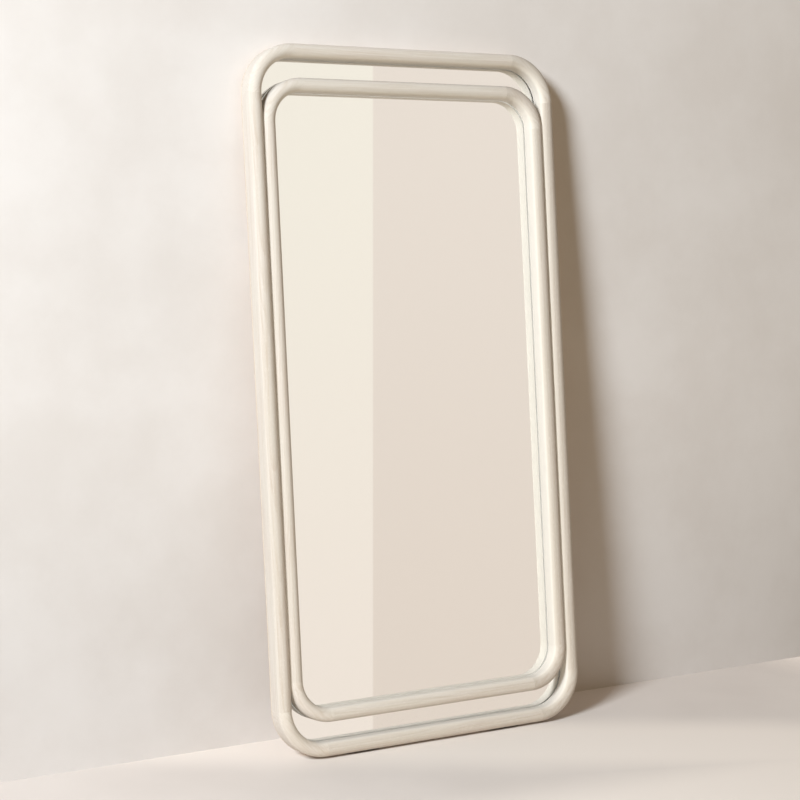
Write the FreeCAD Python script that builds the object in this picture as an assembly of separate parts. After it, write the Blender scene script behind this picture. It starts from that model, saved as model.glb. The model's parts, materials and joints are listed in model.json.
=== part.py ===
import FreeCAD, Part
import math
import os

from FreeCAD import Vector

# Full-length floor mirror that leans against a wall.  Two rounded-rectangle wooden frames of the
# same bullnose moulding: a tall outer frame that holds the glass in a rebate, and a shorter inner
# frame that stands on the glass and touches the outer stiles.
#
# Everything is first laid out upright: origin at the centre of the glass's front face, +X to the
# right, +Y towards the back, +Z up the mirror.  lean() then tips the mirror back and stands it on
# the floor, with the origin under the middle of its bounding box.  Units are millimetres.

# ---- driving dimensions -------------------------------------------------------------------
FRAME_HEIGHT = 1930.0        # outer frame, along the slope
FRAME_WIDTH = 974.0
LEAN_DEG = 5.5               # tilt from the vertical

MOULDING_WIDTH = 38.0        # both frames; the front is a full half-round of this width
OUTER_FRONT = 49.0           # crown of the outer frame in front of the glass
INNER_FRONT = 47.0           # crown of the inner frame in front of the glass
FRAME_BACK = 16.0            # back of the outer frame behind the front of the glass
OUTER_CORNER_R = 138.0       # outline radius of the outer frame
INNER_CORNER_R = 122.0       # outline radius of the inner frame
RAIL_GAP = 53.5              # strip of mirror between outer and inner rails
BACK_EDGE_R = 4.0            # eased outer edge at the back

REBATE_WIDTH = 10.0
GLASS_CLEARANCE = 2.0        # between the glass edge and the rebate wall
GLASS_THICKNESS = 5.0
SILVER_THICKNESS = 0.2       # silvering with its protective paint
TAPE_THICKNESS = 1.0
REBATE_TAPE_WIDTH = 6.0
INNER_TAPE_WIDTH = 12.0
SEAT_GAP = 0.2               # between the frames' wood and the glass, which rests on the tapes
FOAM_THICKNESS = 1.6
FOAM_INSET = 3.0             # from the edge of the glass
BOARD_THICKNESS = 9.0
BLOCK_LENGTH = 80.0          # rubber setting blocks under the glass
BLOCK_X = 240.0

FLOOR_PAD = (100.0, 38.0, 2.0)      # length, depth, thickness
FLOOR_PAD_X = 230.0
FLOOR_PAD_SETBACK = 1.0      # from the start of the rounded back edge
BUMPER_R = 8.0
BUMPER_HEIGHT = 4.0
BUMPER_EASE = 1.0            # chamfer round the bumper's face
BUMPER_X = 290.0

HANGER_Z = 480.0             # height of the ring pivots above the mirror's middle
HANGER_INSET = 20.0          # strap centre line from the outer edge of the stile
STRAP = (16.0, 55.0, 1.5)    # width, length, thickness
RING_WIRE_R = 2.0
RING_BORE_R = 2.08
RING_HALF_WIDTH = 12.0       # wire centre line
RING_LEG = 16.0
RING_CORNER_R = 3.5

# ---- derived dimensions -------------------------------------------------------------------
HALF_WIDTH = FRAME_WIDTH / 2
HALF_HEIGHT = FRAME_HEIGHT / 2
R_MOULD = MOULDING_WIDTH / 2
INNER_HALF_WIDTH = HALF_WIDTH - MOULDING_WIDTH
INNER_HALF_HEIGHT = HALF_HEIGHT - MOULDING_WIDTH - RAIL_GAP
REBATE_N = -R_MOULD + REBATE_WIDTH                # rebate wall, from the moulding's centre line
GLASS_EDGE = MOULDING_WIDTH - REBATE_WIDTH + GLASS_CLEARANCE    # inset from the frame outline
SILVER_BACK = GLASS_THICKNESS + SILVER_THICKNESS
FOAM_BACK = SILVER_BACK + FOAM_THICKNESS
BOARD_BACK = FOAM_BACK + BOARD_THICKNESS

DOWEL_R = 5.0
DOWEL_LENGTH = 40.0
STILE_DOWEL_R = 4.0
STILE_DOWEL_Y = -15.0
STILE_DOWEL_Z = (-600.0, -300.0, 0.0, 300.0, 600.0)
GLUE_SPACE = 0.05            # radial, around every dowel
DOWEL_END_GAP = 1.0
OUTER_DOWELS = ((4.0, 4.0), (0.0, -24.0))         # (across, depth) in the outer moulding
INNER_DOWELS = ((0.0, -11.0), (0.0, -30.0))

PLATE = (34.0, 12.0, 1.5)    # retainer plate: length, width, thickness
PLATE_HOLE_OFFSET = 10.0
PLATE_STILE_Z = (-690.0, -230.0, 230.0, 690.0)
PLATE_RAIL_X = (-180.0, 180.0)
PLATE_SCREW = (3.5, 2.2, 1.6, 9.5)                # head radius, head height, shank radius, length
STRAP_SCREW = (3.4, 1.8, 1.9, 22.0)
STRAP_SCREW_Z = (-12.0, -44.0)                    # below the ring's pivot
SCREW_CLEARANCE = 0.1                             # radial, in the plates and straps
SCREW_CROWN = 0.45           # share of the head's height that is domed
CROSS_DEPTH = 0.45           # share of the head's height, for the cross recess
CROSS_LENGTH = 1.1           # of the head's radius
CROSS_WIDTH = 0.8
SCREW_TIP_R = 0.3

UP = Vector(0, 0, 1)
RIGHT = Vector(1, 0, 0)
BACK = Vector(0, 1, 0)
ORIGIN = Vector(0, 0, 0)
SIDES = ("right", "top", "left", "bottom")
CORNERS = ("top_right", "top_left", "bottom_left", "bottom_right")


# ---- helpers ------------------------------------------------------------------------------
def quarter_turns(shape, k):
    """Turn a shape from the right-hand side to side k: right, top, left, bottom."""
    turned = shape.copy()
    turned.rotate(ORIGIN, BACK, -90.0 * k)
    return turned


def moved(shape, x=0.0, y=0.0, z=0.0):
    copy = shape.copy()
    copy.translate(Vector(x, y, z))
    return copy


def face_of(edges):
    return Part.Face(Part.Wire(edges))


def line(a, b):
    return Part.LineSegment(Vector(*a), Vector(*b)).toShape()


def arc(a, middle, b):
    return Part.Arc(Vector(*a), Vector(*middle), Vector(*b)).toShape()


def rounded_plate(half_width, half_height, radius, front, thickness):
    """A rounded-rectangle sheet that runs back from y = front."""
    hx, hz, r = half_width, half_height, radius
    d = r * (1 - math.sqrt(0.5))
    edges = []
    for sx, sz in ((1, 1), (-1, 1), (-1, -1), (1, -1)):
        start = (sx * hx, front, sz * (hz - r))
        end = (sx * (hx - r), front, sz * hz)
        if sx != sz:
            start, end = end, start
        edges.append(arc(start, (sx * (hx - d), front, sz * (hz - d)), end))
    corners = [(e.Vertexes[0].Point, e.Vertexes[-1].Point) for e in edges]
    for i in range(4):
        edges.append(Part.LineSegment(corners[i][1], corners[(i + 1) % 4][0]).toShape())
    wire = Part.Wire(Part.sortEdges(edges)[0])
    return Part.Face(wire).extrude(BACK * thickness)


def plate_in_frame(inset, front, thickness, half_width=HALF_WIDTH, half_height=HALF_HEIGHT,
                   radius=OUTER_CORNER_R):
    """A sheet whose edge runs at a constant distance inside a frame's outline."""
    return rounded_plate(half_width - inset, half_height - inset, radius - inset, front, thickness)


def rod(centre, axis, radius, length):
    """A cylinder centred on a point."""
    start = Vector(*centre) - axis * (length / 2)
    return Part.makeCylinder(radius, length, start, axis)


def drilled(shape, cutters):
    """The shape less those cutters that reach it."""
    near = [c for c in cutters if shape.BoundBox.intersect(c.BoundBox)]
    return shape.cut(Part.makeCompound(near)) if near else shape


# ---- mouldings ----------------------------------------------------------------------------
def outer_profile():
    """Section of the outer frame: x away from the mirror's middle, y towards the back."""
    r, b = R_MOULD, FRAME_BACK
    crown = -OUTER_FRONT + r
    e = BACK_EDGE_R
    d = e * (1 - math.sqrt(0.5))
    land, floor = -SEAT_GAP, -TAPE_THICKNESS
    step = r - GLASS_EDGE - REBATE_TAPE_WIDTH         # a low land hides the tape from the front
    return face_of([
        line((-r, land, 0), (-r, crown, 0)),
        arc((-r, crown, 0), (0, -OUTER_FRONT, 0), (r, crown, 0)),
        line((r, crown, 0), (r, b - e, 0)),
        arc((r, b - e, 0), (r - d, b - d, 0), (r - e, b, 0)),
        line((r - e, b, 0), (REBATE_N, b, 0)),
        line((REBATE_N, b, 0), (REBATE_N, floor, 0)),
        line((REBATE_N, floor, 0), (step, floor, 0)),
        line((step, floor, 0), (step, land, 0)),
        line((step, land, 0), (-r, land, 0)),
    ])


def inner_profile():
    """Section of the inner frame, which stands on the glass with its tape in a groove."""
    r, half = R_MOULD, INNER_TAPE_WIDTH / 2
    crown = -INNER_FRONT + r
    land, floor = -SEAT_GAP, -TAPE_THICKNESS
    return face_of([
        line((-r, land, 0), (-r, crown, 0)),
        arc((-r, crown, 0), (0, -INNER_FRONT, 0), (r, crown, 0)),
        line((r, crown, 0), (r, land, 0)),
        line((r, land, 0), (half, land, 0)),
        line((half, land, 0), (half, floor, 0)),
        line((half, floor, 0), (-half, floor, 0)),
        line((-half, floor, 0), (-half, land, 0)),
        line((-half, land, 0), (-r, land, 0)),
    ])


def frame_members(profile, half_width, half_height, corner_r):
    """Straight members and quarter-round corners of one frame, in the order of SIDES and CORNERS."""
    straight = {0: half_height - corner_r, 1: half_width - corner_r}
    reach = {0: half_width - R_MOULD, 1: half_height - R_MOULD}
    bend_r = corner_r - R_MOULD
    members, corners = [], []
    for k in range(4):
        half = straight[k % 2]
        bar = moved(profile, x=reach[k % 2], z=-half).extrude(UP * (2 * half))
        members.append(quarter_turns(bar, k))
        bend = moved(profile, x=bend_r).revolve(ORIGIN, -BACK, 90.0)
        bend = quarter_turns(bend, k)
        sx = 1 if k in (0, 3) else -1
        sz = 1 if k in (0, 1) else -1
        corners.append(moved(bend, x=sx * (half_width - corner_r), z=sz * (half_height - corner_r)))
    return members, corners


def joint_dowels(half_width, half_height, corner_r, places, radius, length):
    """Two dowels across each of the eight joints between a frame's members and its corners."""
    bend_r = corner_r - R_MOULD
    rods = []
    for k in range(4):
        sx = 1 if k in (0, 3) else -1
        sz = 1 if k in (0, 1) else -1
        for across, depth in places:
            for centre, axis in (((bend_r + across, depth, 0), UP), ((0, depth, bend_r + across), RIGHT)):
                pin = quarter_turns(rod(centre, axis, radius, length), k)
                rods.append(moved(pin, x=sx * (half_width - corner_r), z=sz * (half_height - corner_r)))
    return rods


def stile_dowels(radius, length):
    """Dowels that join the inner stiles to the outer ones."""
    return [rod((side * INNER_HALF_WIDTH, STILE_DOWEL_Y, z), RIGHT, radius, length)
            for side in (-1, 1) for z in STILE_DOWEL_Z]


# ---- glass, backing and retainers ----------------------------------------------------------
def tape_under_rebate():
    outside = plate_in_frame(GLASS_EDGE, -TAPE_THICKNESS, TAPE_THICKNESS)
    inside = plate_in_frame(GLASS_EDGE + REBATE_TAPE_WIDTH, -TAPE_THICKNESS, TAPE_THICKNESS)
    return outside.cut(inside)


def tape_under_inner_frame():
    size = (INNER_HALF_WIDTH, INNER_HALF_HEIGHT, INNER_CORNER_R)
    half = INNER_TAPE_WIDTH / 2
    outside = plate_in_frame(R_MOULD - half, -TAPE_THICKNESS, TAPE_THICKNESS, *size)
    inside = plate_in_frame(R_MOULD + half, -TAPE_THICKNESS, TAPE_THICKNESS, *size)
    return outside.cut(inside)


def setting_blocks():
    """Rubber blocks under the bottom edge of the glass and the board."""
    z = -HALF_HEIGHT + GLASS_EDGE - GLASS_CLEARANCE
    return [Part.makeBox(BLOCK_LENGTH, BOARD_BACK, GLASS_CLEARANCE, Vector(x - BLOCK_LENGTH / 2, 0, z))
            for x in (-BLOCK_X, BLOCK_X)]


def retainer_places():
    """Middle of each retainer plate on the rebate's edge, with the quarter turns to its side."""
    along = HALF_WIDTH - R_MOULD + REBATE_N
    across = HALF_HEIGHT - R_MOULD + REBATE_N
    places = [(k, along, z) for k in (0, 2) for z in PLATE_STILE_Z]
    return places + [(k, across, x) for k in (1, 3) for x in PLATE_RAIL_X]


def retainer_plate():
    """Flat steel plate with rounded ends and two holes, its length along X, its face at y = 0."""
    length, width, thickness = PLATE
    half, r = length / 2, width / 2
    outline = face_of([
        line((-half + r, 0, -r), (half - r, 0, -r)),
        arc((half - r, 0, -r), (half, 0, 0), (half - r, 0, r)),
        line((half - r, 0, r), (-half + r, 0, r)),
        arc((-half + r, 0, r), (-half, 0, 0), (-half + r, 0, -r)),
    ])
    plate = outline.extrude(BACK * thickness)
    hole_r = PLATE_SCREW[2] + SCREW_CLEARANCE
    holes = [rod((side * PLATE_HOLE_OFFSET, thickness / 2, 0), BACK, hole_r, 2 * thickness)
             for side in (-1, 1)]
    return plate.cut(Part.makeCompound(holes))


def screw(head_r, head_height, shank_r, length):
    """Pan-head screw: the underside of its head at y = 0, its shank towards the front."""
    rim = head_height * (1 - SCREW_CROWN)
    shoulder = (head_r * 0.72, head_height * (1 - SCREW_CROWN * 0.3), 0)     # a point on the dome
    head = face_of([
        line((0, 0, 0), (head_r, 0, 0)),
        line((head_r, 0, 0), (head_r, rim, 0)),
        arc((head_r, rim, 0), shoulder, (0, head_height, 0)),
        line((0, head_height, 0), (0, 0, 0)),
    ]).revolve(ORIGIN, BACK, 360.0)
    reach = head_r * CROSS_LENGTH
    floor = head_height * (1 - CROSS_DEPTH)
    slot = Part.makeBox(reach, head_height, CROSS_WIDTH, Vector(-reach / 2, floor, -CROSS_WIDTH / 2))
    head = head.cut(slot).cut(quarter_turns(slot, 1))
    shank = Part.makeCylinder(shank_r, length - shank_r, ORIGIN, -BACK)
    point = Part.makeCone(shank_r, SCREW_TIP_R, shank_r, BACK * (shank_r - length), -BACK)
    return head.fuse([shank, point]).removeSplitter()


def retainers():
    """The steel plates that hold the backing board in, and their screws."""
    plates, screws = [], []
    plate = retainer_plate()
    fastener = screw(*PLATE_SCREW)
    for k, reach, along in retainer_places():
        plates.append(quarter_turns(moved(plate, x=reach, y=FRAME_BACK, z=along), k))
        for side in (-1, 1):
            x = reach + side * PLATE_HOLE_OFFSET
            placed = moved(fastener, x=x, y=FRAME_BACK + PLATE[2], z=along)
            screws.append(quarter_turns(placed, k))
    return plates, screws


# ---- hangers -------------------------------------------------------------------------------
def hanger_x(side):
    return side * (HALF_WIDTH - HANGER_INSET)


def hanger_pivot_y():
    return FRAME_BACK + RING_BORE_R + STRAP[2]


def hanger_strap(side):
    """Steel strap whose upper end is rolled round the ring."""
    width, length, thickness = STRAP
    x, y = hanger_x(side), hanger_pivot_y()
    plate = Part.makeBox(width, thickness, length, Vector(x - width / 2, FRAME_BACK, HANGER_Z - length))
    roll = rod((x, y, HANGER_Z), RIGHT, RING_BORE_R + thickness, width)
    bore = rod((x, y, HANGER_Z), RIGHT, RING_BORE_R, 2 * width)
    strap = plate.fuse(roll).cut(bore).removeSplitter()
    hole_r = STRAP_SCREW[2] + SCREW_CLEARANCE
    holes = [rod((x, FRAME_BACK, HANGER_Z + dz), BACK, hole_r, 4 * thickness) for dz in STRAP_SCREW_Z]
    return strap.cut(Part.makeCompound(holes))


def hanger_ring(side):
    """Closed D of round wire that hangs straight down from the strap's roll."""
    w, c, leg, r = RING_HALF_WIDTH, RING_CORNER_R, RING_LEG, RING_WIRE_R
    d = c * (1 - math.sqrt(0.5))
    path = Part.Wire([
        line((-w + c, 0, 0), (w - c, 0, 0)),
        arc((w - c, 0, 0), (w - d, 0, -d), (w, 0, -c)),
        line((w, 0, -c), (w, 0, -leg)),
        arc((w, 0, -leg), (0, 0, -leg - w), (-w, 0, -leg)),
        line((-w, 0, -leg), (-w, 0, -c)),
        arc((-w, 0, -c), (-w + d, 0, -d), (-w + c, 0, 0)),
    ])
    section = Part.Wire(Part.makeCircle(r, Vector(-w + c, 0, 0), RIGHT))
    ring = path.makePipeShell([section], True, True)
    ring.rotate(ORIGIN, RIGHT, LEAN_DEG)
    return moved(ring, x=hanger_x(side), y=hanger_pivot_y(), z=HANGER_Z)


def hanger_screws():
    fastener = screw(*STRAP_SCREW)
    return [moved(fastener, x=hanger_x(side), y=FRAME_BACK + STRAP[2], z=HANGER_Z + dz)
            for side in (-1, 1) for dz in STRAP_SCREW_Z]


# ---- pads ----------------------------------------------------------------------------------
def floor_pad(side):
    """Non-slip pad under the bottom rail."""
    length, depth, thickness = FLOOR_PAD
    back = FRAME_BACK - BACK_EDGE_R - FLOOR_PAD_SETBACK
    corner = Vector(side * FLOOR_PAD_X - length / 2, back - depth, -HALF_HEIGHT - thickness)
    return Part.makeBox(length, depth, thickness, corner)


def wall_bumper(side):
    """Round rubber bumper on the back of the top rail, with an eased rim."""
    ease = BUMPER_EASE
    z = HALF_HEIGHT - R_MOULD + (R_MOULD + REBATE_N) / 2
    base = Vector(side * BUMPER_X, FRAME_BACK, z)
    body = Part.makeCylinder(BUMPER_R, BUMPER_HEIGHT - ease, base, BACK)
    rim = Part.makeCone(BUMPER_R, BUMPER_R - ease, ease, base + BACK * (BUMPER_HEIGHT - ease), BACK)
    return body.fuse(rim)


# ---- assembly ------------------------------------------------------------------------------
def lean(shape):
    """Tip the upright mirror back and stand it on the floor, centred on its bounding box."""
    a = math.radians(LEAN_DEG)
    pad_back = FRAME_BACK - BACK_EDGE_R - FLOOR_PAD_SETBACK
    lowest = -pad_back * math.sin(a) - (HALF_HEIGHT + FLOOR_PAD[2]) * math.cos(a)
    front = -(OUTER_FRONT - R_MOULD) * math.cos(a) - (HALF_HEIGHT - R_MOULD) * math.sin(a) - R_MOULD
    bumper_top = HALF_HEIGHT - R_MOULD + (R_MOULD + REBATE_N) / 2 + BUMPER_R - BUMPER_EASE
    rear = (FRAME_BACK + BUMPER_HEIGHT) * math.cos(a) + bumper_top * math.sin(a)
    leaned = shape.copy()
    leaned.rotate(ORIGIN, RIGHT, -LEAN_DEG)
    leaned.translate(Vector(0, -(front + rear) / 2, -lowest))
    return leaned


def build():
    nodes = {}
    outer_size = (HALF_WIDTH, HALF_HEIGHT, OUTER_CORNER_R)
    inner_size = (INNER_HALF_WIDTH, INNER_HALF_HEIGHT, INNER_CORNER_R)

    nodes["outer_joint_dowels"] = joint_dowels(*outer_size, OUTER_DOWELS, DOWEL_R, DOWEL_LENGTH)
    nodes["inner_joint_dowels"] = joint_dowels(*inner_size, INNER_DOWELS, DOWEL_R, DOWEL_LENGTH)
    nodes["stile_dowels"] = stile_dowels(STILE_DOWEL_R, DOWEL_LENGTH)
    plates, plate_screws = retainers()
    nodes["retainer_plates"] = plates
    nodes["retainer_screws"] = plate_screws
    nodes["hanger_screws"] = hanger_screws()

    hole_r, hole_length = DOWEL_R + GLUE_SPACE, DOWEL_LENGTH + 2 * DOWEL_END_GAP
    holes = joint_dowels(*outer_size, OUTER_DOWELS, hole_r, hole_length)
    holes += joint_dowels(*inner_size, INNER_DOWELS, hole_r, hole_length)
    holes += stile_dowels(STILE_DOWEL_R + GLUE_SPACE, hole_length)
    shanks = plate_screws + nodes["hanger_screws"]

    outer = frame_members(outer_profile(), *outer_size)
    inner = frame_members(inner_profile(), *inner_size)
    for frame_name, (members, corners) in (("outer", outer), ("inner", inner)):
        for side, member in zip(SIDES, members):
            kind = "rail" if side in ("top", "bottom") else "stile"
            nodes[f"{frame_name}_{side}_{kind}"] = [drilled(member, holes + shanks)]
        for corner, bend in zip(CORNERS, corners):
            nodes[f"{frame_name}_corner_{corner}"] = [drilled(bend, holes)]

    nodes["mirror_glass"] = [plate_in_frame(GLASS_EDGE, 0, GLASS_THICKNESS)]
    nodes["mirror_silvering"] = [plate_in_frame(GLASS_EDGE, GLASS_THICKNESS, SILVER_THICKNESS)]
    nodes["rebate_tape"] = [tape_under_rebate()]
    nodes["inner_frame_tape"] = [tape_under_inner_frame()]
    nodes["foam_sheet"] = [plate_in_frame(GLASS_EDGE + FOAM_INSET, SILVER_BACK, FOAM_THICKNESS)]
    board = plate_in_frame(GLASS_EDGE, FOAM_BACK, BOARD_THICKNESS)
    nodes["backing_board"] = [drilled(board, shanks)]
    nodes["setting_blocks"] = setting_blocks()

    for side, name in ((-1, "left"), (1, "right")):
        nodes[f"floor_pad_{name}"] = [floor_pad(side)]
        nodes[f"wall_bumper_{name}"] = [wall_bumper(side)]
        nodes[f"hanger_strap_{name}"] = [hanger_strap(side)]
        nodes[f"hanger_ring_{name}"] = [hanger_ring(side)]
    return nodes


def main():
    os.makedirs("parts", exist_ok=True)
    for name, solids in build().items():
        shape = solids[0] if len(solids) == 1 else Part.makeCompound(solids)
        lean(shape).exportStep(os.path.join("parts", name + ".step"))


main()
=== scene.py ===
import json
import math
import random

import bmesh
import bpy
from mathutils import Matrix, Vector


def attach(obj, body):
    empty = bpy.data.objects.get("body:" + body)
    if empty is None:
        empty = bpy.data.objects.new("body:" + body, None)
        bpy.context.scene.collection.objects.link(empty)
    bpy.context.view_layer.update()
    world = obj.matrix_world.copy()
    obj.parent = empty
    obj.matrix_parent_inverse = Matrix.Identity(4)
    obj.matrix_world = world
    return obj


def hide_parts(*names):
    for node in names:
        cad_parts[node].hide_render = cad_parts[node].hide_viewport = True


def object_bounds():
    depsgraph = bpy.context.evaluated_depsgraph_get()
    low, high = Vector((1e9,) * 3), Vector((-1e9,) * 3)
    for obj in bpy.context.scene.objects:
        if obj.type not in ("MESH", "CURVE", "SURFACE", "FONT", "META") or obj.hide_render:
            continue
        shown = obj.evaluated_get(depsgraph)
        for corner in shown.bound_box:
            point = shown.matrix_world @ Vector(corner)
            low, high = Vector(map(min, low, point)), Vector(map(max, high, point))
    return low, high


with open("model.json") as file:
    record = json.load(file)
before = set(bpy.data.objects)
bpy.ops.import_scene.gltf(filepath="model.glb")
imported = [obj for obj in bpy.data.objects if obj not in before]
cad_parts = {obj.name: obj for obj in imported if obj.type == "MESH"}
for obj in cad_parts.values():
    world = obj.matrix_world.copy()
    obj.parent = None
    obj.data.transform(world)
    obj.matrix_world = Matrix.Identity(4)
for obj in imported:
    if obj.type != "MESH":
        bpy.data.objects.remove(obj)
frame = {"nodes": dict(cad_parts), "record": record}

# Looks of a leaning floor mirror: two bullnose frames in whitewashed wood round a silvered glass.
# Everything is in metres.  "Local" coordinates are those of the upright mirror: x to the right,
# y towards the back, z up the slope, with the origin in the middle of the glass's front face.
# Pieces with no mesh of their own here keep their CAD mesh and only get a material.

CAD_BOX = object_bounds()
NODES = frame["nodes"]
MM = 0.001


# ---- the mirror's own coordinates -----------------------------------------------------------
BACKWARD = next(
    Vector(mount["axis"]).normalized()
    for mount in frame["record"]["mounts"]
    if mount["name"] == "wall_bumper_face_left"
)
RIGHTWARD = Vector((1, 0, 0))
UPWARD = RIGHTWARD.cross(BACKWARD)


def mirror_matrix():
    """Local to world coordinates, from the CAD glass: it is centred on x and z, its front at y = 0."""
    turn = Matrix((RIGHTWARD, BACKWARD, UPWARD)).transposed()
    points = [turn.transposed() @ v.co for v in NODES["mirror_glass"].data.vertices]
    low, high = [[edge(p[i] for p in points) for i in range(3)] for edge in (min, max)]
    origin = turn @ Vector(((low[0] + high[0]) / 2, low[1], (low[2] + high[2]) / 2))
    return Matrix.Translation(origin) @ turn.to_4x4()


LOCAL = mirror_matrix()


def local_box(node):
    """Lowest and highest corner of a CAD node in local coordinates."""
    back = LOCAL.inverted()
    points = [back @ v.co for v in NODES[node].data.vertices]
    return [Vector(edge(p[i] for p in points) for i in range(3)) for edge in (min, max)]


# ---- sizes, read from the frame ---------------------------------------------------------------
class FrameSize:
    """Outline and depth of one of the two wooden frames."""

    def __init__(self, name):
        low, high = local_box(name + "_corner_top_right")
        self.name = name
        self.half_width, self.half_height = high.x, high.z
        self.corner_r = high.x - low.x
        self.front, self.back = low.y, high.y


OUTER, INNER = FrameSize("outer"), FrameSize("inner")
MOULDING = OUTER.half_width - INNER.half_width
REBATE_INSET = OUTER.half_height + local_box("setting_blocks")[0].z    # rebate wall from the outline
TAPE_FRONT = local_box("rebate_tape")[0].y
GLASS_EDGE = OUTER.half_width - local_box("mirror_glass")[1].x          # inset from the outline
REBATE_TAPE_WIDTH = 6 * MM
INNER_TAPE_WIDTH = 12 * MM
BACK_EDGE_R = 4 * MM
EASED_EDGE_R = 0.3 * MM
SEAM_BEVEL = 0.15 * MM                     # on the ends of the frame pieces
SECTION_STEP = 1.2 * MM                    # along the rounded parts of a section
STRAIGHT_STEP = 40 * MM
BEND_STEP = 3 * MM

SIDES = ("right", "top", "left", "bottom")
CORNERS = ("top_right", "top_left", "bottom_left", "bottom_right")


# ---- mesh helpers -----------------------------------------------------------------------------
def rounded_outline(corners, step=SECTION_STEP):
    """Closed outline through (x, y, radius) corners, each rounded by an arc of its radius."""
    points = []
    for i, (x, y, radius) in enumerate(corners):
        corner = Vector((x, y))
        if radius == 0:
            points.append(corner)
            continue
        before = (Vector(corners[i - 1][:2]) - corner).normalized()
        after = (Vector(corners[(i + 1) % len(corners)][:2]) - corner).normalized()
        half = before.angle(after) / 2
        centre = corner + (before + after).normalized() * radius / math.sin(half)
        start = corner + before * radius / math.tan(half) - centre
        end = corner + after * radius / math.tan(half) - centre
        turn = math.atan2(start.x * end.y - start.y * end.x, start.dot(end))
        steps = max(3, math.ceil(abs(turn) * radius / step))
        for n in range(steps + 1):
            points.append(centre + Matrix.Rotation(turn * n / steps, 2) @ start)
    return [p for i, p in enumerate(points) if (p - points[i - 1]).length > 1e-7]


def inset_outline(points, distance):
    """The outline moved inwards by a small distance."""
    count = len(points)
    area = sum(points[i - 1].x * points[i].y - points[i].x * points[i - 1].y for i in range(count))
    side = 1 if area > 0 else -1
    moved = []
    for i, point in enumerate(points):
        normals = []
        for edge in (point - points[i - 1], points[(i + 1) % count] - point):
            edge = edge.normalized()
            normals.append(Vector((-edge.y, edge.x)) * side)
        together = normals[0] + normals[1]
        moved.append(point + together * distance / (1 + normals[0].dot(normals[1])))
    return moved


def mesh_object(name, points, faces, material, sharp_deg=38.0):
    """A smooth-shaded object from local points, with sharp edges where its faces turn by more."""
    mesh = bpy.data.meshes.new(name)
    mesh.from_pydata([LOCAL @ Vector(p) for p in points], [], faces)
    mesh.shade_smooth()
    mesh.set_sharp_from_angle(angle=math.radians(sharp_deg))
    mesh.materials.append(material)
    made = bpy.data.objects.new(name, mesh)
    bpy.context.scene.collection.objects.link(made)
    return made


def skin(rings):
    """Points and faces of a tube through rings of equally many points, capped at both ends."""
    count = len(rings[0])
    last = (len(rings) - 1) * count
    faces = []
    for a in range(0, last, count):
        b = a + count
        for j in range(count):
            k = (j + 1) % count
            faces.append((a + j, a + k, b + k, b + j))
    faces.append(tuple(reversed(range(count))))
    faces.append(tuple(range(last, last + count)))
    return [p for ring in rings for p in ring], faces


def outward(made):
    """Turns the faces of a closed mesh outwards."""
    work = bmesh.new()
    work.from_mesh(made.data)
    bmesh.ops.recalc_face_normals(work, faces=work.faces)
    work.to_mesh(made.data)
    work.free()
    return made


def stands_for(piece, node):
    """Declares a piece of the root body that takes the place of a CAD node."""
    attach(piece, "root")
    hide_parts(node)


# ---- node helpers -----------------------------------------------------------------------------
def srgb(*channels):
    """Linear colour with alpha from 0-255 display values."""
    scaled = [c / 255 for c in channels]
    return tuple(c / 12.92 if c <= 0.04045 else ((c + 0.055) / 1.055) ** 2.4 for c in scaled) + (1.0,)


class Graph:
    """Short calls that build one node tree."""

    def __init__(self, tree):
        self.tree = tree

    def node(self, kind, inputs, **settings):
        made = self.tree.nodes.new("ShaderNode" + kind)
        for key, value in settings.items():
            setattr(made, key, value)
        for key, value in inputs.items():
            self.plug(made.inputs[key], value)
        return made

    def plug(self, socket, value):
        if isinstance(value, bpy.types.NodeSocket):
            self.tree.links.new(value, socket)
        else:
            socket.default_value = value

    def attribute(self, name):
        return self.node("Attribute", {}, attribute_name=name).outputs["Vector"]

    def place(self):
        """The point's own coordinates, in metres."""
        return self.node("TexCoord", {}).outputs["Object"]

    def vector(self, operation, a, b):
        return self.node("VectorMath", {0: a, 1: b}, operation=operation).outputs["Vector"]

    def scaled(self, vector, x, y, z):
        return self.vector("MULTIPLY", vector, (x, y, z))

    def dimmed(self, colour, factor):
        return self.node("VectorMath", {0: colour, "Scale": factor}, operation="SCALE").outputs["Vector"]

    def dot(self, a, b):
        return self.node("VectorMath", {0: a, 1: b}, operation="DOT_PRODUCT").outputs["Value"]

    def length(self, a):
        return self.node("VectorMath", {0: a}, operation="LENGTH").outputs["Value"]

    def split(self, vector):
        return self.node("SeparateXYZ", {0: vector}).outputs

    def math(self, operation, a, b=0.0):
        return self.node("Math", {0: a, 1: b}, operation=operation).outputs[0]

    def noise(self, vector, detail=2.0, roughness=0.5, scale=1.0):
        settings = {"Vector": vector, "Scale": scale, "Detail": detail, "Roughness": roughness}
        return self.node("TexNoise", settings).outputs[0]

    def cells(self, vector, output="Distance", scale=1.0):
        return self.node("TexVoronoi", {"Vector": vector, "Scale": scale}).outputs[output]

    def remap(self, value, low, high, to_low=0.0, to_high=1.0):
        """Maps low..high smoothly to to_low..to_high."""
        inputs = {0: value, 1: low, 2: high, 3: to_low, 4: to_high}
        return self.node("MapRange", inputs, interpolation_type="SMOOTHSTEP").outputs[0]

    def mix(self, factor, a, b, blend="MIX"):
        inputs = {0: factor, 6: a, 7: b}
        return self.node("Mix", inputs, data_type="RGBA", blend_type=blend).outputs[2]

    def bump(self, height, distance, strength):
        inputs = {"Height": height, "Distance": distance, "Strength": strength}
        return self.node("Bump", inputs).outputs[0]


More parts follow.
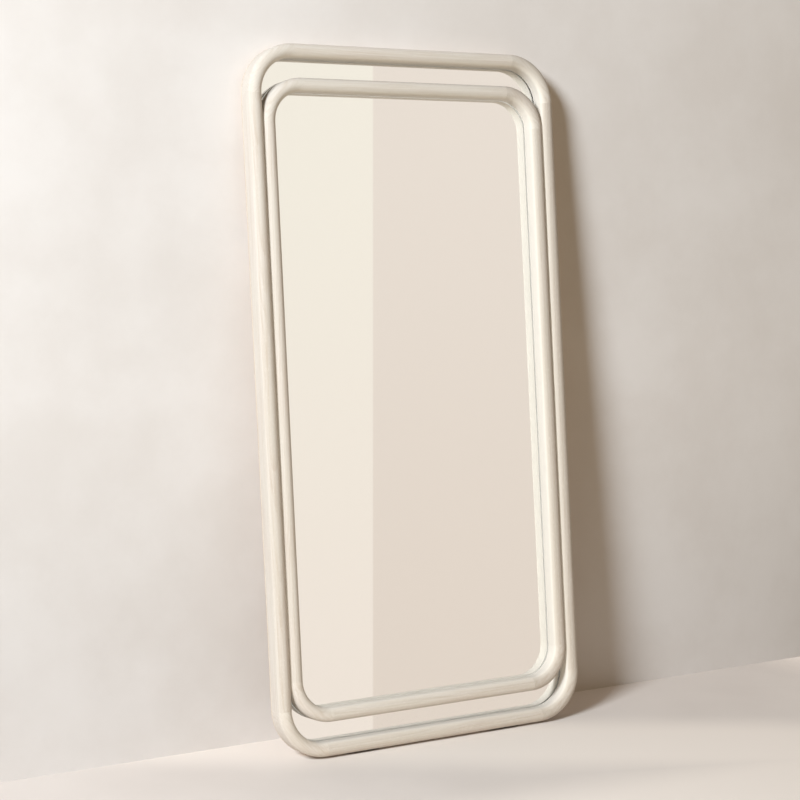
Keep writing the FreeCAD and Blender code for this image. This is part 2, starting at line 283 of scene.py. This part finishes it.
class Surface(Graph):
    """The node tree of a new material."""

    def __init__(self, name):
        self.material = bpy.data.materials.new(name)
        self.material.use_nodes = True
        super().__init__(self.material.node_tree)
        self.shader = self.tree.nodes["Principled BSDF"]

    def set(self, **sockets):
        """Sets the shader's sockets, named with underscores for spaces."""
        for key, value in sockets.items():
            self.plug(self.shader.inputs[key.replace("_", " ")], value)


# ---- materials --------------------------------------------------------------------------------
RING_SPACING = 3.4 * MM                    # growth rings
WASH_THINS = (6 * MM, 15 * MM)             # depths between which the wash fades to a thin coat
RAW_BACK = (OUTER.back - 1.0 * MM, OUTER.back - 0.2 * MM)
PAINTED_GAP_LIGHT_STARTS = (-1.0 * MM, -0.4 * MM)     # painted light: the faces over the glass are drawn near-white to lighten the shaded line there
PAINTED_GAP_LIGHT_ENDS = (3 * MM, 2 * MM)


def whitewashed_wood():
    """Open-grain wood under a white wash that is thin near the back and absent on the back face.

    The frame pieces keep two vectors at every point: "grain" is its place in the timber, and
    "finish" is the tone there, partly the wash and partly painted shade and light, the depth, and
    the place across the moulding, which is 1 at the inner side and -1 at the outer side.
    """
    g = Surface("whitewashed_wood")
    grain = g.attribute("grain")                    # across, depth and along, from the pith
    tone, depth, inward = g.split(g.attribute("finish"))

    wander = g.noise(g.scaled(grain, 14, 14, 2.2), detail=3)
    radius = g.length(g.scaled(grain, 1, 1, 0.02))
    rings = g.math("ADD", g.math("DIVIDE", radius, RING_SPACING), g.math("MULTIPLY", wander, 5.0))
    phase = g.math("FRACT", rings)
    latewood = g.math("MULTIPLY", g.remap(phase, 0.35, 0.9), g.remap(phase, 0.93, 1.0, 1.0, 0.0))
    streaks = g.remap(g.noise(g.scaled(grain, 190, 190, 5), detail=3), 0.35, 0.7)
    fibres = g.noise(g.scaled(grain, 900, 900, 22), detail=4, roughness=0.6)
    pores = g.remap(g.noise(g.scaled(grain, 1500, 1500, 90), detail=2), 0.6, 0.7)
    clouds = g.remap(g.noise(g.scaled(grain, 26, 26, 5), detail=2), 0.3, 0.7)
    figure = g.math("ADD", g.math("MULTIPLY", latewood, 0.26), g.math("MULTIPLY", streaks, 0.36))
    figure = g.math("ADD", figure, g.math("MULTIPLY", g.remap(fibres, 0.3, 0.75), 0.22))

    wood = g.mix(figure, srgb(195, 186, 178), srgb(173, 158, 143))
    wood = g.mix(g.math("MULTIPLY", clouds, 0.45), wood, srgb(189, 182, 172))
    # Painted light: the inner sides, which face across the mirror, are lightened as if lit by the light
    # the mirror throws back.
    wood = g.mix(g.remap(inward, 0.4, 1.0, 0.0, 0.8), wood, srgb(222, 213, 202))
    from_middle = g.math("ABSOLUTE", inward)
    flat = g.remap(from_middle, 0.8, 1.0, 1.0, 0.4)       # painted shade: the darkening below falls fully on the rounded fronts and less on the flat sides
    # Darker by the piece's tone, which is partly the wash's own variation and partly painted shade.
    bare_and_shaded = g.remap(g.math("MULTIPLY", tone, flat), 0.0, 1.0)
    wood = g.mix(bare_and_shaded, wood, (0.71, 0.68, 0.65, 1), "MULTIPLY")
    # Painted light: where the tone drops below zero, high on the mirror, the wood is drawn whiter.
    wood = g.mix(g.remap(tone, 0.0, -1.0, 0.0, 0.35), wood, srgb(232, 229, 226))
    washed = g.mix(g.math("MULTIPLY", pores, 0.4), wood, srgb(212, 204, 196))

    thinly_washed = g.mix(figure, srgb(214, 190, 156), srgb(170, 138, 100))
    coat = g.mix(g.remap(depth, *WASH_THINS, 0.0, 0.55), washed, thinly_washed)
    raw = g.mix(figure, srgb(186, 168, 144), srgb(146, 127, 102))
    coat = g.mix(g.remap(depth, *RAW_BACK, 0.0, 0.9), coat, raw)
    # Painted light: near-white on the faces over the glass, which lightens the shaded line where the wood
    # meets its reflection.
    near_glass = g.math("MULTIPLY", g.remap(depth, *PAINTED_GAP_LIGHT_STARTS), g.remap(depth, *PAINTED_GAP_LIGHT_ENDS))
    painted_gap_light = g.math("MULTIPLY", near_glass, g.remap(from_middle, 1.0, 0.97))
    g.set(Base_Color=g.mix(painted_gap_light, coat, srgb(246, 244, 239)))

    g.set(Roughness=g.remap(fibres, 0.3, 0.75, 0.52, 0.68))
    relief = g.math("SUBTRACT", g.math("MULTIPLY", fibres, 0.6), g.math("MULTIPLY", pores, 0.5))
    relief = g.math("ADD", relief, g.math("MULTIPLY", latewood, 0.25))
    g.set(Normal=g.bump(relief, 0.25 * MM, 0.6))
    return g.material


def raw_beech():
    g = Surface("raw_beech")
    flecks = g.noise(g.scaled(g.place(), 900, 900, 900), detail=3)
    g.set(Base_Color=g.mix(g.remap(flecks, 0.3, 0.7), srgb(214, 178, 136), srgb(184, 142, 98)))
    g.set(Roughness=g.remap(flecks, 0.3, 0.7, 0.6, 0.75))
    g.set(Normal=g.bump(flecks, 0.1 * MM, 0.5))
    return g.material


def mirror_glass():
    """Clear float glass, faintly green, with the least trace of unevenness in its tint."""
    g = Surface("mirror_glass")
    haze = g.noise(g.scaled(g.place(), 3, 3, 3), detail=2)
    g.set(Base_Color=g.mix(haze, (0.990, 0.998, 0.993, 1), (0.985, 0.996, 0.990, 1)))
    g.set(Roughness=0.0, IOR=1.52, Transmission_Weight=1.0)
    return g.material


def silvering():
    """Silver coat seen through the glass, and grey protective paint on its back."""
    g = Surface("silvering")
    facing_back = g.dot(g.node("NewGeometry", {}).outputs["Normal"], tuple(BACKWARD))
    painted = g.remap(facing_back, 0.0, 0.2)
    grain = g.noise(g.scaled(g.place(), 400, 400, 400), detail=2)
    silver = g.mix(grain, (0.965, 0.965, 0.96, 1), (0.975, 0.975, 0.97, 1))
    paint = g.mix(grain, srgb(104, 110, 108), srgb(122, 128, 126))
    g.set(Base_Color=g.mix(painted, silver, paint))
    g.set(Metallic=g.math("SUBTRACT", 1.0, painted), Roughness=g.math("MULTIPLY", painted, 0.6))
    return g.material


def foam_tape():
    g = Surface("foam_tape")
    bubbles = g.cells(g.place(), scale=2600)
    g.set(Base_Color=g.mix(g.remap(bubbles, 0.1, 0.6), srgb(196, 194, 186), srgb(226, 224, 217)))
    g.set(Roughness=0.85)
    g.set(Normal=g.bump(bubbles, 0.15 * MM, 0.6))
    return g.material


def packing_foam():
    g = Surface("packing_foam")
    bubbles = g.cells(g.place(), scale=1400)
    g.set(Base_Color=g.mix(g.remap(bubbles, 0.1, 0.6), srgb(214, 216, 216), srgb(238, 239, 238)))
    g.set(Roughness=0.8)
    g.set(Normal=g.bump(bubbles, 0.2 * MM, 0.6))
    return g.material


def fibreboard():
    """Brown fibreboard: fine matted fibres, darker flecks and soft broad patches."""
    g = Surface("fibreboard")
    place = g.place()
    patches = g.remap(g.noise(place, detail=4, scale=7), 0.3, 0.7)
    fibres = g.noise(g.scaled(place, 900, 500, 260), detail=5, roughness=0.7)
    flecks = g.remap(g.cells(g.scaled(place, 420, 420, 160)), 0.16, 0.05)
    board = g.mix(patches, srgb(170, 145, 114), srgb(177, 152, 121))
    board = g.mix(g.remap(fibres, 0.35, 0.7, 0.0, 0.65), board, srgb(141, 115, 86))
    board = g.mix(g.math("MULTIPLY", flecks, 0.35), board, srgb(108, 84, 60))
    g.set(Base_Color=board)
    g.set(Roughness=g.remap(fibres, 0.3, 0.7, 0.72, 0.9))
    g.set(Normal=g.bump(fibres, 0.25 * MM, 0.5))
    return g.material


def rubber(name, dark, light, roughness):
    g = Surface(name)
    speckle = g.noise(g.place(), detail=4, roughness=0.7, scale=900)
    g.set(Base_Color=g.mix(g.remap(speckle, 0.35, 0.7), srgb(*dark), srgb(*light)))
    g.set(Roughness=g.remap(speckle, 0.3, 0.7, roughness - 0.06, roughness + 0.08))
    g.set(Normal=g.bump(speckle, 0.12 * MM, 0.5))
    return g.material


def plated_steel(name, bright, dull, roughness, spangle):
    """Plated steel: faint crystal patches, fine scratches and uneven gloss."""
    g = Surface(name)
    place = g.place()
    patches = g.cells(place, output="Color", scale=spangle)
    patch = g.split(patches)[0]
    scratches = g.noise(g.scaled(place, 3000, 3000, 240), detail=3)
    colour = g.mix(g.math("MULTIPLY", patch, 0.6), srgb(*bright), srgb(*dull))
    g.set(Base_Color=g.mix(g.remap(scratches, 0.55, 0.75, 0.0, 0.25), colour, srgb(*dull)))
    g.set(Metallic=1.0)
    uneven = g.math("ADD", g.math("MULTIPLY", patch, 0.10), g.math("MULTIPLY", scratches, 0.12))
    g.set(Roughness=g.math("ADD", uneven, roughness))
    g.set(Normal=g.bump(scratches, 0.03 * MM, 0.35))
    return g.material


WOOD = whitewashed_wood()
ZINC = plated_steel("zinc_steel", (205, 207, 205), (176, 178, 176), 0.26, 500)
SCREW_STEEL = plated_steel("screw_steel", (214, 208, 190), (180, 174, 158), 0.24, 900)
NICKEL = plated_steel("nickel_steel", (214, 208, 196), (190, 184, 172), 0.14, 300)
PAD_RUBBER = rubber("pad_rubber", (34, 32, 30), (52, 49, 46), 0.74)
BUMPER_RUBBER = rubber("bumper_rubber", (188, 184, 174), (206, 202, 193), 0.55)


# ---- frame pieces -----------------------------------------------------------------------------
PAINTED_LIGHT_RISE = 0.17               # painted light: every piece is drawn whiter towards the top and darker towards the bottom

# How dark each piece is drawn, partly its wash and partly painted shade and light: right-hand pieces
# darker, top rails whiter. -1 is the whitest, 1 the darkest.
WASH_AND_SHADE_TONES = {
    "outer_right_stile": 0.85, "outer_top_rail": 0.15, "outer_left_stile": 0.55,
    "outer_bottom_rail": 0.45, "outer_corner_top_right": 0.58, "outer_corner_top_left": 0.38,
    "outer_corner_bottom_left": 0.32, "outer_corner_bottom_right": 0.68,
    "inner_right_stile": 0.80, "inner_top_rail": 0.05, "inner_left_stile": 0.42,
    "inner_bottom_rail": 0.36, "inner_corner_top_right": 0.62, "inner_corner_top_left": 0.30,
    "inner_corner_bottom_left": 0.28, "inner_corner_bottom_right": 0.66,
}


def outer_section():
    """Section of the outer frame, with its rebate: x away from the mirror's middle, y backwards."""
    r = MOULDING / 2
    rebate = r - REBATE_INSET
    groove = r - GLASS_EDGE - REBATE_TAPE_WIDTH
    return rounded_outline([
        (-r, INNER.back, EASED_EDGE_R),
        (-r, OUTER.front, r),
        (r, OUTER.front, r),
        (r, OUTER.back, BACK_EDGE_R),
        (rebate, OUTER.back, EASED_EDGE_R),
        (rebate, TAPE_FRONT, 0),
        (groove, TAPE_FRONT, 0),
        (groove, INNER.back, 0),
    ])


def inner_section():
    """Section of the inner frame, with a groove for the tape that it stands on."""
    r, groove = MOULDING / 2, INNER_TAPE_WIDTH / 2
    return rounded_outline([
        (-r, INNER.back, EASED_EDGE_R),
        (-r, INNER.front, r),
        (r, INNER.front, r),
        (r, INNER.back, EASED_EDGE_R),
        (groove, INNER.back, 0),
        (groove, TAPE_FRONT, 0),
        (-groove, TAPE_FRONT, 0),
        (-groove, INNER.back, 0),
    ])


def stations(start, end, step):
    """(position, bevelled) along a piece, with a fine bevel at both ends."""
    first, last = start + SEAM_BEVEL, end - SEAM_BEVEL
    count = max(1, round((end - start) / step))
    between = [first + (last - first) * i / count for i in range(count + 1)]
    return [(start, True)] + [(s, False) for s in between] + [(end, True)]


def quarter_turned(x, z, quarters):
    for _ in range(quarters):
        x, z = -z, x
    return x, z


def frame_piece(node, section, places, where, along_grain, look):
    """Sweeps a section through its stations; every point also keeps its grain and finish."""
    bevelled = inset_outline(section, SEAM_BEVEL)
    pith_x, pith_y = look["pith"]
    rings, grain, finish = [], [], []
    for s, is_bevelled in places:
        outline = bevelled if is_bevelled else section
        ring = [where(p.x, p.y, s) for p in outline]
        rings.append(ring)
        for p, (_, depth, height) in zip(outline, ring):
            across, along = along_grain(p.x, s)
            grain += (across + pith_x, depth + pith_y, along + look["shift"])
            # Painted light: the tone drops higher up the mirror, so the wood there is drawn whiter.
            tone = look["tone"] - PAINTED_LIGHT_RISE * height / OUTER.half_height
            finish += (tone, depth, -2 * p.x / MOULDING)
    points, faces = skin(rings)
    piece = outward(mesh_object(node + "_wood", points, faces, WOOD))
    for name, values in (("grain", grain), ("finish", finish)):
        piece.data.attributes.new(name, "FLOAT_VECTOR", "POINT").data.foreach_set("vector", values)
    stands_for(piece, node)


def piece_look(node, seed):
    """Where the piece was cut from the log, and how dark it is drawn: its wash with painted shade and
    light.
    """
    draw = random.Random(seed)
    angle = draw.uniform(0, 2 * math.pi)
    distance = draw.uniform(50, 110) * MM
    return {
        "pith": (distance * math.cos(angle), distance * math.sin(angle)),
        "shift": draw.uniform(1, 9),
        "tone": WASH_AND_SHADE_TONES[node],
    }


OUTER_SEED, INNER_SEED = 11, 31


def build_frame(size, section, seed):
    """Four straight members and four quarter-round corner pieces."""
    r = MOULDING / 2
    bend_r = size.corner_r - r
    for k in range(4):
        half_length = (size.half_height, size.half_width)[k % 2] - size.corner_r
        reach = (size.half_width, size.half_height)[k % 2] - r
        kind = ("stile", "rail")[k % 2]

        def on_member(x, y, s):
            px, pz = quarter_turned(reach + x, s, k)
            return px, y, pz

        node = f"{size.name}_{SIDES[k]}_{kind}"
        frame_piece(node, section, stations(-half_length, half_length, STRAIGHT_STEP), on_member,
                    lambda x, s: (x, s), piece_look(node, seed + k))

        side_x, side_z = ((1, 1), (-1, 1), (-1, -1), (1, -1))[k]
        centre_x = side_x * (size.half_width - size.corner_r)
        centre_z = side_z * (size.half_height - size.corner_r)

        def on_corner(x, y, s):
            angle = s / bend_r
            px, pz = quarter_turned((bend_r + x) * math.cos(angle), (bend_r + x) * math.sin(angle), k)
            return centre_x + px, y, centre_z + pz

        def across_plank(x, s):
            """The corner is sawn from a plank, so its grain runs straight along the chord."""
            angle = s / bend_r - math.pi / 4
            return (bend_r + x) * math.cos(angle) - bend_r, (bend_r + x) * math.sin(angle)

        node = f"{size.name}_corner_{CORNERS[k]}"
        frame_piece(node, section, stations(0, bend_r * math.pi / 2, BEND_STEP), on_corner,
                    across_plank, piece_look(node, seed + 4 + k))


# ---- glass ------------------------------------------------------------------------------------
ARRIS = 0.6 * MM
SILVER_ARRIS = 0.02 * MM
SILVER_BITE = 0.03 * MM        # the silver begins just inside the glass, so the two never coincide
SHEET_STEP = 4 * MM            # along the rounded corners


def rounded_sheet(name, front, back, inset, arris, material):
    """A rounded-rectangle sheet with ground edges, at a distance inside the glass's outline."""
    glass_corner = local_box("mirror_glass")[1]
    radius = OUTER.corner_r - GLASS_EDGE - inset
    x, z = glass_corner.x - inset, glass_corner.z - inset
    outline = rounded_outline([(x, z, radius), (-x, z, radius), (-x, -z, radius), (x, -z, radius)],
                              SHEET_STEP)
    ground = inset_outline(outline, arris)
    levels = ((front, ground), (front + arris, outline), (back - arris, outline), (back, ground))
    points, faces = skin([[(p.x, depth, p.y) for p in line] for depth, line in levels])
    return outward(mesh_object(name, points, faces, material, sharp_deg=20.0))


def build_glass():
    glass_front, glass_back = (corner.y for corner in local_box("mirror_glass"))
    silver_back = local_box("mirror_silvering")[1].y
    glass = rounded_sheet("glass_sheet", glass_front, glass_back, 0, ARRIS, mirror_glass())
    stands_for(glass, "mirror_glass")
    silver = rounded_sheet("silver_coat", glass_back - SILVER_BITE, silver_back, ARRIS, SILVER_ARRIS,
                           silvering())
    stands_for(silver, "mirror_silvering")


# ---- pads and bumpers --------------------------------------------------------------------------
RIB_PITCH = 4 * MM
RIB_DEPTH = 0.5 * MM
RIB_SHAPE = ((0.06, 0), (0.54, 0), (0.66, 1), (0.94, 1))
PAD_CORNER_R = 4 * MM
PAD_ENDS = ((0.0, 1.0), (0.03, 0.3), (0.08, 0.0), (0.92, 0.0), (0.97, 0.3), (1.0, 1.0))
DOME = ((0.94, 0.0), (1.0, 0.06), (1.0, 0.55), (0.97, 0.72), (0.88, 0.87), (0.72, 0.96), (0.45, 0.995))
DOME_SIDES = 40


def ribbed_pad(node):
    """Rubber pad under the bottom rail, with cross ribs on its underside and eased corners."""
    low, high = local_box(node)
    length, depth = high.x - low.x, high.y - low.y
    count = round(length / RIB_PITCH)
    profile = [(low.x, low.z + RIB_DEPTH)]
    for i in range(count):
        for share, up in RIB_SHAPE:       # share of the pitch, and of the rib's depth
            profile.append((low.x + length * (i + share) / count, low.z + up * RIB_DEPTH))
    profile += [(high.x, low.z + RIB_DEPTH), (high.x, high.z), (low.x, high.z)]
    middle = (low.x + high.x) / 2
    rings = []
    for share, pull in PAD_ENDS:          # share of the depth, and of the corner's radius
        shrink = 1 - pull * PAD_CORNER_R * 2 / length
        rings.append([(middle + (x - middle) * shrink, low.y + depth * share, z) for x, z in profile])
    points, faces = skin(rings)
    piece = outward(mesh_object(node + "_ribbed", points, faces, PAD_RUBBER))
    stands_for(piece, node)


def domed_bumper(node):
    """Round self-adhesive bumper with a crowned face."""
    low, high = local_box(node)
    middle, radius, height = (low + high) / 2, (high.x - low.x) / 2, high.y - low.y
    angles = [2 * math.pi * i / DOME_SIDES for i in range(DOME_SIDES)]
    rings = []
    for share, rise in DOME:              # share of the radius, and of the height
        r, y = radius * share, low.y + height * rise
        rings.append([(middle.x + r * math.cos(a), y, middle.z + r * math.sin(a)) for a in angles])
    points, faces = skin(rings)
    piece = outward(mesh_object(node + "_domed", points, faces, BUMPER_RUBBER))
    stands_for(piece, node)


# ---- object -----------------------------------------------------------------------------------
def finish_node(node, material):
    """Gives a CAD node that is shown as it is its material."""
    for slot in NODES[node].material_slots:
        slot.material = material


def build_object():
    build_frame(OUTER, outer_section(), OUTER_SEED)
    build_frame(INNER, inner_section(), INNER_SEED)
    build_glass()
    for side in ("left", "right"):
        ribbed_pad("floor_pad_" + side)
        domed_bumper("wall_bumper_" + side)
        finish_node("hanger_strap_" + side, ZINC)
        finish_node("hanger_ring_" + side, NICKEL)
    finish_node("retainer_plates", ZINC)
    finish_node("retainer_screws", SCREW_STEEL)
    finish_node("hanger_screws", SCREW_STEEL)
    tape = foam_tape()
    finish_node("rebate_tape", tape)
    finish_node("inner_frame_tape", tape)
    finish_node("foam_sheet", packing_foam())
    finish_node("backing_board", fibreboard())
    finish_node("setting_blocks", rubber("block_rubber", (60, 58, 55), (78, 75, 71), 0.7))
    beech = raw_beech()
    for node in ("outer_joint_dowels", "inner_joint_dowels", "stile_dowels"):
        finish_node(node, beech)


# ---- camera -----------------------------------------------------------------------------------
CAMERA_TARGET = Vector((-0.0565, 0.0, 0.9532))
CAMERA_DISTANCE = 5.1066
CAMERA_YAW_DEG = 29.94        # to the left of the mirror's straight-on view
CAMERA_PITCH_DEG = 5.74       # looking down
LENS_MM = 82.33


def build_camera():
    yaw, pitch = math.radians(CAMERA_YAW_DEG), math.radians(CAMERA_PITCH_DEG)
    forward = Vector((math.sin(yaw) * math.cos(pitch), math.cos(yaw) * math.cos(pitch), -math.sin(pitch)))
    data = bpy.data.cameras.new("camera")
    data.lens, data.sensor_width = LENS_MM, 36.0
    data.clip_start, data.clip_end = 0.05, 100.0
    camera = bpy.data.objects.new("camera", data)
    camera.location = CAMERA_TARGET - forward * CAMERA_DISTANCE
    camera.rotation_mode = "QUATERNION"
    camera.rotation_quaternion = forward.to_track_quat("-Z", "Y")
    bpy.context.scene.collection.objects.link(camera)
    bpy.context.scene.camera = camera
    return forward


# ---- room: floor, wall, light -----------------------------------------------------------------
MIDDLE = Vector((0, 0, CAD_BOX[1].z / 2))
FLOOR_SOLID, FLOOR_GONE = 1.30, 1.75       # the floor fades between these distances
WALL_SOLID, WALL_GONE = 1.9, 2.5           # and the wall, from the mirror's middle
WALL_GAP = 0.3 * MM
LIT_FLOOR_ACROSS = ((-0.44, -0.20), (0.0, 0.22))      # painted light: a band of the key light that the mirror throws, painted into the floor's colour
LIT_FLOOR_FRONT = (-0.50, -0.80)
ROOM_CORNER_DEG = -0.846      # where the reflected room corner stands, from the view axis
ROOM_LEFT = ((0.895, 0.795, 0.71, 1), (0.935, 0.873, 0.77, 1))        # low down and high up
ROOM_RIGHT = ((0.785, 0.682, 0.597, 1), (0.85, 0.76, 0.68, 1))
AMBIENT = (0.245, 0.19, 0.12, 1)


def fading(g, solid, gone, centre, hide_back=False):
    """Leaves a surface solid near a point and transparent far from it, and if asked from behind."""
    away = g.length(g.vector("SUBTRACT", g.place(), centre))
    factor = g.remap(away, solid, gone)
    if hide_back:
        backfacing = g.node("NewGeometry", {}).outputs["Backfacing"]
        factor = g.math("MAXIMUM", factor, backfacing)
    clear = g.node("BsdfTransparent", {}).outputs[0]
    mixed = g.node("MixShader", {0: factor, 1: g.shader.outputs[0], 2: clear})
    g.tree.links.new(mixed.outputs[0], g.tree.nodes["Material Output"].inputs["Surface"])


def stage_plane(name, corners, material):
    mesh = bpy.data.meshes.new(name)
    mesh.from_pydata(corners, [], [(0, 1, 2, 3)])
    mesh.materials.append(material)
    made = bpy.data.objects.new(name, mesh)
    bpy.context.scene.collection.objects.link(made)
    return made


def build_floor():
    """Pale floor; the mirror doesn't show it, only the tones of the room."""
    g = Surface("pale_floor")
    mottle = g.noise(g.place(), detail=5, scale=2.2)
    stone = g.mix(g.remap(mottle, 0.3, 0.7), srgb(203, 193, 186), srgb(209, 199, 192))
    x, y, _ = g.split(g.place())
    across = g.math("ADD", g.math("MULTIPLY", x, 0.53), g.math("MULTIPLY", y, 0.85))
    rise, fall = LIT_FLOOR_ACROSS
    thrown = g.math("MULTIPLY", g.remap(across, *rise), g.remap(across, *fall, 1.0, 0.0))
    # Painted light: the band thrown by the mirror and the front of the floor are lightened in the colour.
    lighter = g.math("MAXIMUM", thrown, g.remap(y, *LIT_FLOOR_FRONT))
    g.set(Base_Color=g.mix(lighter, stone, srgb(227, 216, 207)))
    g.set(Roughness=0.75)
    fading(g, FLOOR_SOLID, FLOOR_GONE, (0, 0, 0))
    s = FLOOR_GONE
    floor = stage_plane("floor", [(-s, -s, 0), (s, -s, 0), (s, s, 0), (-s, s, 0)], g.material)
    floor.visible_glossy = False
    floor.visible_transmission = False


def build_wall():
    """Pale plaster that the mirror leans on; it isn't there when seen from behind."""
    g = Surface("pale_wall")
    place = g.place()
    mottle = g.noise(place, detail=6, roughness=0.62, scale=2.4)
    plaster = g.mix(g.remap(mottle, 0.3, 0.7), srgb(221, 212, 205), srgb(228, 220, 214))
    height = g.split(place)[2]
    # Painted shade: the plaster is drawn darker towards the floor.
    g.set(Base_Color=g.dimmed(plaster, g.remap(height, 0.0, 1.1, 0.835, 1.0)))
    g.set(Roughness=0.85)
    g.set(Normal=g.bump(g.noise(place, detail=4, scale=5), 0.02, 0.09))
    fading(g, WALL_SOLID, WALL_GONE, MIDDLE, hide_back=True)
    y, s, top = CAD_BOX[1].y + WALL_GAP, WALL_GONE, MIDDLE.z + WALL_GONE
    wall = stage_plane("wall", [(-s, y, 0), (s, y, 0), (s, y, top), (-s, y, top)], g.material)
    wall.visible_shadow = False
    wall.visible_glossy = False


def area_light(name, azimuth, elevation, distance, size, power, colour):
    """A round soft light that shines at the mirror's middle; azimuth 0 is straight in front."""
    a, e = math.radians(azimuth), math.radians(elevation)
    back = Vector((math.sin(a) * math.cos(e), -math.cos(a) * math.cos(e), math.sin(e)))
    data = bpy.data.lights.new(name, "AREA")
    data.shape, data.size, data.energy, data.color = "DISK", size, power, colour
    light = bpy.data.objects.new(name, data)
    light.location = MIDDLE + back * distance
    light.rotation_mode = "QUATERNION"
    light.rotation_quaternion = (-back).to_track_quat("-Z", "Y")
    light.visible_glossy = False
    light.visible_transmission = False
    bpy.context.scene.collection.objects.link(light)
    return light


def link_light(light, name, receivers, blockers=None):
    """Lets a light reach only some pieces, and be shaded only by some."""
    for kind, pieces in (("receiver", receivers), ("blocker", blockers)):
        if pieces is None:
            continue
        group = bpy.data.collections.new(f"{name}_{kind}s")
        for piece in pieces:
            group.objects.link(piece)
        setattr(light.light_linking, kind + "_collection", group)


def build_lights(pieces):
    """A key light for everything, and weaker ones that reach only the wood or only the object."""
    area_light("key", -58.5, 26, 8.5, 2.15, 1100, (0.901, 1.0, 1.08))
    wood = [piece for piece in pieces if piece.name.endswith("_wood")]
    fill = area_light("fill", -25, -14, 4.0, 2.0, 78, (1.0, 1.0, 0.88))
    link_light(fill, "fill", wood, wood)
    for size, power in ((INNER, 125), (OUTER, 42)):       # into the line between wood and glass
        members = [piece for piece in wood if piece.name.startswith(size.name)]
        gap = area_light(size.name + "_gap", 180, -5.5, 5.0, 0.4, power, (1.0, 1.0, 0.97))
        link_light(gap, size.name + "_gap", members, members)
    rear = area_light("rear", 150, 25, 5.0, 1.5, 140, (1.0, 0.985, 0.97))
    link_light(rear, "rear", pieces)


def build_world(forward):
    """Pale surroundings with a room corner that the mirror shows as a straight change of tone."""
    right = forward.cross(Vector((0, 0, 1))).normalized()
    split = right - forward * math.tan(math.radians(ROOM_CORNER_DEG))
    split = split - BACKWARD * 2 * split.dot(BACKWARD)

    world = bpy.data.worlds.new("room")
    world.use_nodes = True
    g = Graph(world.node_tree)
    direction = g.node("TexCoord", {}).outputs["Generated"]
    side = g.remap(g.dot(direction, tuple(split)), -0.0006, 0.0006)
    climb = g.remap(g.split(direction)[2], -0.15, 0.25)
    seen = g.mix(side, g.mix(climb, *ROOM_LEFT), g.mix(climb, *ROOM_RIGHT))
    diffuse = g.node("LightPath", {}).outputs["Is Diffuse Ray"]
    g.plug(g.tree.nodes["Background"].inputs["Color"], g.mix(diffuse, seen, AMBIENT))
    bpy.context.scene.world = world


build_object()
object_pieces = [piece for piece in bpy.context.scene.objects if piece.type == "MESH"]
view_direction = build_camera()
build_floor()
build_wall()
build_lights(object_pieces)
build_world(view_direction)
bpy.context.scene.view_settings.view_transform = "Standard"
